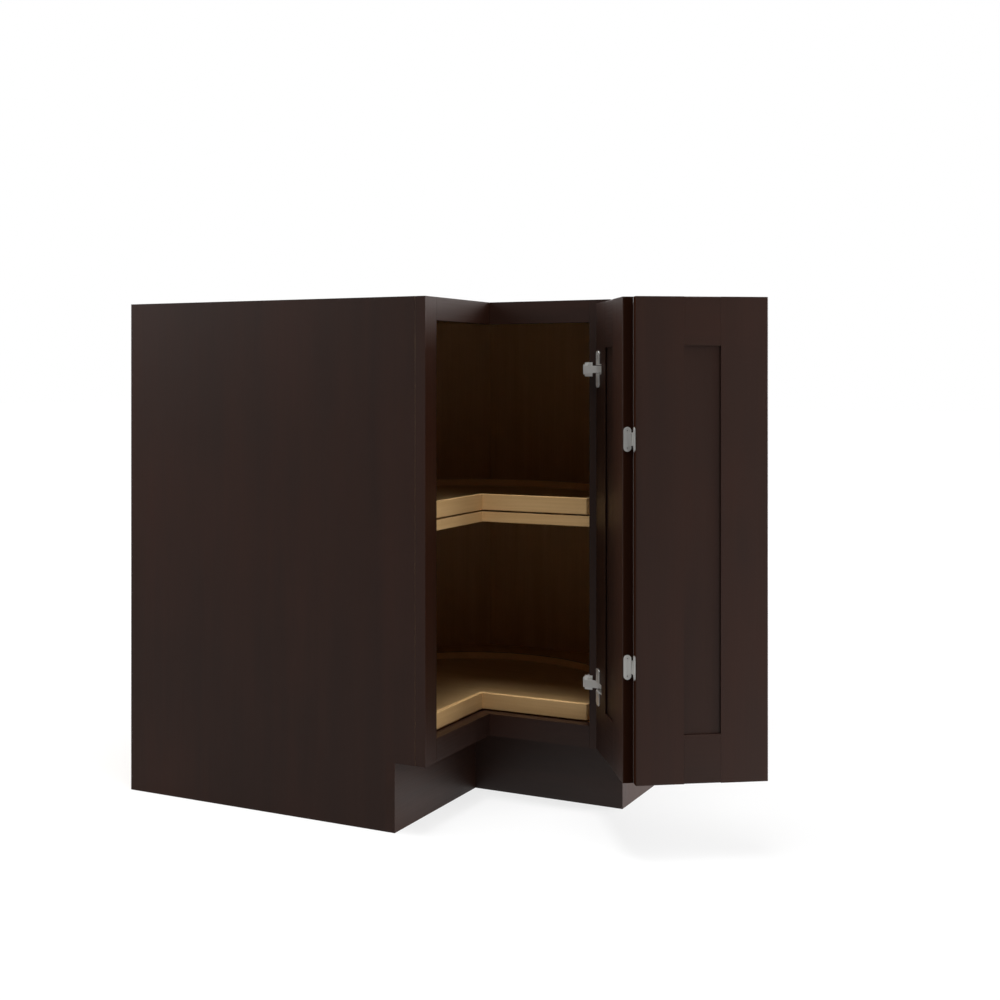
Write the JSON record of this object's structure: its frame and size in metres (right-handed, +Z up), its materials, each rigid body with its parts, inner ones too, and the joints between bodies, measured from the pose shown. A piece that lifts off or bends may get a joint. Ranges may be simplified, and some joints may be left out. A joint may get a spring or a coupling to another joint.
{
  "type": "corner carousel cabinet",
  "caption": "L-shaped kitchen corner base cabinet with turning pie-cut trays behind recessed-panel door leaves, joined at a right angle, that swing open together.",
  "frame": {"origin": "centre of the bounding box's footprint, on the floor, with the door leaves open as in the picture; the room's corner, where the two wall planes would meet, is at (-0.5656, 0.4191, 0)", "axes": "+Z is up; +X runs along the back wall, from the room's corner to the hinged end; +Y points at the back wall; the two legs point to +X and to -Y"},
  "size_m": [1.1312, 0.8382, 0.8763],
  "materials": {
    "espresso": "dark espresso stain under satin lacquer",
    "maple": "natural maple veneer under clear satin lacquer",
    "nickel": "nickel-plated steel",
    "zinc": "zinc-plated steel"
  },
  "bodies": {
    "cabinet": {"end_panel_right": "espresso", "end_panel_left": "espresso", "toe_kick_left": "espresso", "toe_kick_right": "espresso", "top_rail_right": "espresso", "top_rail_left": "espresso", "bottom_rail_right": "espresso", "bottom_rail_left": "espresso", "stile_right": "espresso", "stile_left": "espresso", "back_panel_right": "maple", "back_panel_left": "maple", "back_panel_diagonal": "maple", "cabinet_floor": "maple", "fixed_shelf": "maple", "shelf_cleat_right": "maple", "shelf_cleat_left": "maple", "shelf_cleat_diagonal": "maple", "top_panel": "maple", "corner_brace": "maple", "frame_hinge_arm_top": "nickel", "frame_hinge_bracket_top": "nickel", "frame_hinge_arm_bottom": "nickel", "frame_hinge_bracket_bottom": "nickel", "upper_tray_bearing_balls": "zinc", "upper_tray_bearing_base": "zinc", "lower_tray_bearing_balls": "zinc", "lower_tray_bearing_base": "zinc"},
    "hinged_leaf": {"first_leaf_hinge_stile": "espresso", "first_leaf_meeting_stile": "espresso", "first_leaf_top_rail": "espresso", "first_leaf_bottom_rail": "espresso", "first_leaf_panel": "espresso", "frame_hinge_cup_top": "nickel", "frame_hinge_pin_top": "nickel", "frame_hinge_cup_bottom": "nickel", "frame_hinge_pin_bottom": "nickel", "leaf_hinge_first_half_top": "nickel", "leaf_hinge_first_half_bottom": "nickel"},
    "folding_leaf": {"second_leaf_free_stile": "espresso", "second_leaf_meeting_stile": "espresso", "second_leaf_top_rail": "espresso", "second_leaf_bottom_rail": "espresso", "second_leaf_panel": "espresso", "leaf_hinge_second_half_top": "nickel", "leaf_hinge_second_half_bottom": "nickel"},
    "upper_tray": {"upper_tray_platform": "maple", "upper_tray_rim": "maple", "upper_tray_front_right": "maple", "upper_tray_front_left": "maple", "upper_tray_bearing_top": "zinc"},
    "lower_tray": {"lower_tray_platform": "maple", "lower_tray_rim": "maple", "lower_tray_front_right": "maple", "lower_tray_front_left": "maple", "lower_tray_bearing_top": "zinc"}
  },
  "joints": [
    {"name": "door_swing", "type": "hinge", "parent": "cabinet", "child": "hinged_leaf", "pos_m": [0.26518, -0.2031, 0.4915], "axis": [0, 0, 1], "range_deg": [-123.8, 41.2]},
    {"name": "leaf_fold", "type": "hinge", "parent": "hinged_leaf", "child": "folding_leaf", "pos_m": [0.38293, -0.36784, 0.4735], "axis": [0, 0, 1], "range_deg": [0, 60]},
    {"name": "upper_tray_spin", "type": "hinge", "parent": "cabinet", "child": "upper_tray", "pos_m": [-0.05762, -0.0889, 0.508], "axis": [0, 0, 1], "range_deg": [-360, 360]},
    {"name": "lower_tray_spin", "type": "hinge", "parent": "cabinet", "child": "lower_tray", "pos_m": [-0.05762, -0.0889, 0.153], "axis": [0, 0, 1], "range_deg": [-360, 360]}
  ]
}
